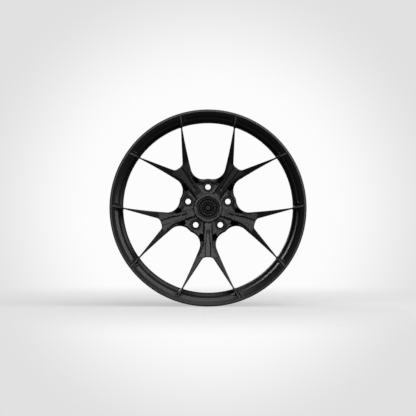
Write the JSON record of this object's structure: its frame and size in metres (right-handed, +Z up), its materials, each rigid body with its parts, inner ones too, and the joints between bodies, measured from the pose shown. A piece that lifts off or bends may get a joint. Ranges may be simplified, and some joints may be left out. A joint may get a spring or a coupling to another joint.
{
  "type": "racing wheel rim",
  "caption": "Satin black forged racing wheel: dished Y-spoke centre in a drop-centre rim barrel, with conical lug seats, centre cap and clamp-in valve.",
  "frame": {"origin": "centre of the wheel, on its spin axis, midway between the outer faces of the two rim flanges", "axes": "+Y along the spin axis, from the styled front face to the hub side; -Y is the front; +Z up, with one spoke pointing straight down; +X to the right seen from the front"},
  "size_m": [0.5219, 0.254, 0.522],
  "materials": {
    "satin_black_coat": "satin black powder coat",
    "ring_aluminium": "turned",
    "cap_coat": "satin",
    "cap_inlay_finish": "dark anodised",
    "seal_rubber": "matte",
    "valve_black": "black anodised",
    "valve_cap_finish": "black anodised, fluted",
    "core_brass": "machined",
    "spring_steel": "drawn wire",
    "seat_steel": "black zinc"
  },
  "bodies": {
    "wheel": {"rim_barrel": "satin_black_coat", "forged_centre": "satin_black_coat", "hub_ring": "ring_aluminium", "valve_stem": "valve_black", "valve_seal": "seal_rubber", "valve_washer": "valve_black", "valve_nut": "valve_black", "valve_core_body": "core_brass", "valve_core_seal": "seal_rubber", "valve_core_spring": "spring_steel", "lug_seat_1": "seat_steel", "lug_seat_2": "seat_steel", "lug_seat_3": "seat_steel", "lug_seat_4": "seat_steel", "lug_seat_5": "seat_steel"},
    "centre_cap": {"cap_body": "cap_coat", "cap_inlay": "cap_inlay_finish", "cap_o_ring": "seal_rubber"},
    "core_pin": {"valve_core_pin": "core_brass"},
    "cap_seal": {"valve_cap_seal": "seal_rubber"},
    "valve_cap": {"valve_cap": "valve_cap_finish"}
  },
  "joints": [
    {"name": "centre_cap_pull", "type": "slide", "parent": "wheel", "child": "centre_cap", "axis": [0, -1, 0], "range_m": [0, 0.03]},
    {"name": "valve_pin_press", "type": "slide", "parent": "wheel", "child": "core_pin", "axis": [0, 1, 0], "range_m": [0, 0.0012], "stiffness_N_per_m": 600, "springref_m": -0.002, "deforming": ["valve_core_spring"]},
    {"name": "valve_cap_lift", "type": "slide", "parent": "wheel", "child": "cap_seal", "axis": [0, -1, 0], "range_m": [0, 0.012]},
    {"name": "valve_cap_turn", "type": "hinge", "parent": "cap_seal", "child": "valve_cap", "pos_m": [0.2291, -0.1082, 0.0144], "axis": [0, 1, 0], "range_deg": [0, 4320]}
  ]
}
